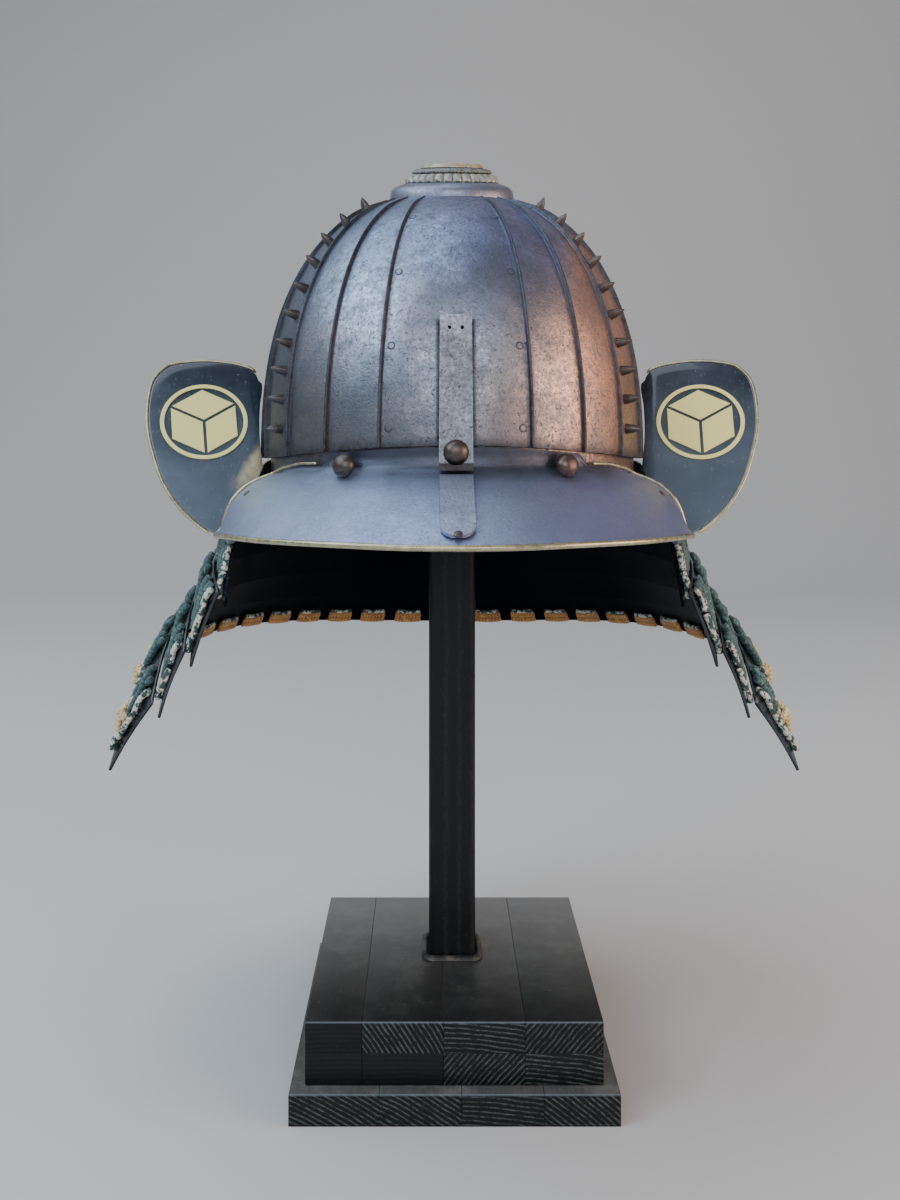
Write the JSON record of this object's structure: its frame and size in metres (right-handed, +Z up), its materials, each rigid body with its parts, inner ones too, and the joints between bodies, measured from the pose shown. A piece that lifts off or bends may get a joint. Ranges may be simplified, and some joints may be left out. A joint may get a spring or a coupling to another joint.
{
  "type": "samurai helmet on a wooden display stand",
  "caption": "Ribbed iron helmet bowl with spiked rivets, a short visor, turned-back wings and a laced, flaring neck guard, resting on a square post and stepped wooden base.",
  "frame": {"origin": "centre of the stand's underside, on the floor", "axes": "+Z up along the stand's post; the visor faces -Y; +X to the right seen from the front"},
  "size_m": [0.356, 0.3563, 0.4971],
  "materials": {
    "russet_iron": "satin russet-brown and blue-grey patina on forged iron",
    "black_lacquer": "gloss black lacquer on iron, finely scratched",
    "gilt": "worn pale gilt copper",
    "verdigris_gilt": "worn gilt with pale verdigris",
    "gold_lacquer": "pale gold lacquer",
    "teal_silk": "braided silk cord",
    "gold_silk": "braided silk cord",
    "black_wood": "black-stained softwood with raised grain",
    "pale_glue": "dry glue bead"
  },
  "bodies": {
    "root": {"base_plate": "black_wood", "base_block": "black_wood", "post": "black_wood", "foot_bead": "pale_glue", "post_head": "black_wood", "bowl_plate_front": "russet_iron", "bowl_plate_rear": "russet_iron", "bowl_plate_left_1": "russet_iron", "bowl_plate_left_2": "russet_iron", "bowl_plate_left_3": "russet_iron", "bowl_plate_left_4": "russet_iron", "bowl_plate_left_5": "russet_iron", "bowl_plate_left_6": "russet_iron", "bowl_plate_left_7": "russet_iron", "bowl_plate_left_8": "russet_iron", "bowl_plate_right_1": "russet_iron", "bowl_plate_right_2": "russet_iron", "bowl_plate_right_3": "russet_iron", "bowl_plate_right_4": "russet_iron", "bowl_plate_right_5": "russet_iron", "bowl_plate_right_6": "russet_iron", "bowl_plate_right_7": "russet_iron", "bowl_plate_right_8": "russet_iron", "base_band": "russet_iron", "crown_collar": "russet_iron", "crown_petals": "verdigris_gilt", "crown_rope_ring": "verdigris_gilt", "crown_rim": "verdigris_gilt", "visor": "russet_iron", "visor_bead": "gilt", "crest_holder": "russet_iron", "crest_holder_tongue": "russet_iron", "dome_rivet_centre": "russet_iron", "dome_rivet_left": "russet_iron", "dome_rivet_right": "russet_iron", "lame_1": "black_lacquer", "lame_2": "black_lacquer", "lame_3": "black_lacquer", "lame_4": "black_lacquer", "lame_5": "black_lacquer", "lacing_2": "teal_silk", "lacing_3": "teal_silk", "lacing_4": "teal_silk", "lacing_5": "teal_silk", "cross_knots": "gold_silk", "wing_rim_left": "gilt", "wing_rim_right": "gilt", "crest_ring_left": "gold_lacquer", "crest_rhomb_left_1": "gold_lacquer", "crest_rhomb_left_2": "gold_lacquer", "crest_rhomb_left_3": "gold_lacquer", "crest_ring_right": "gold_lacquer", "crest_rhomb_right_1": "gold_lacquer", "crest_rhomb_right_2": "gold_lacquer", "crest_rhomb_right_3": "gold_lacquer"}
  },
  "joints": []
}
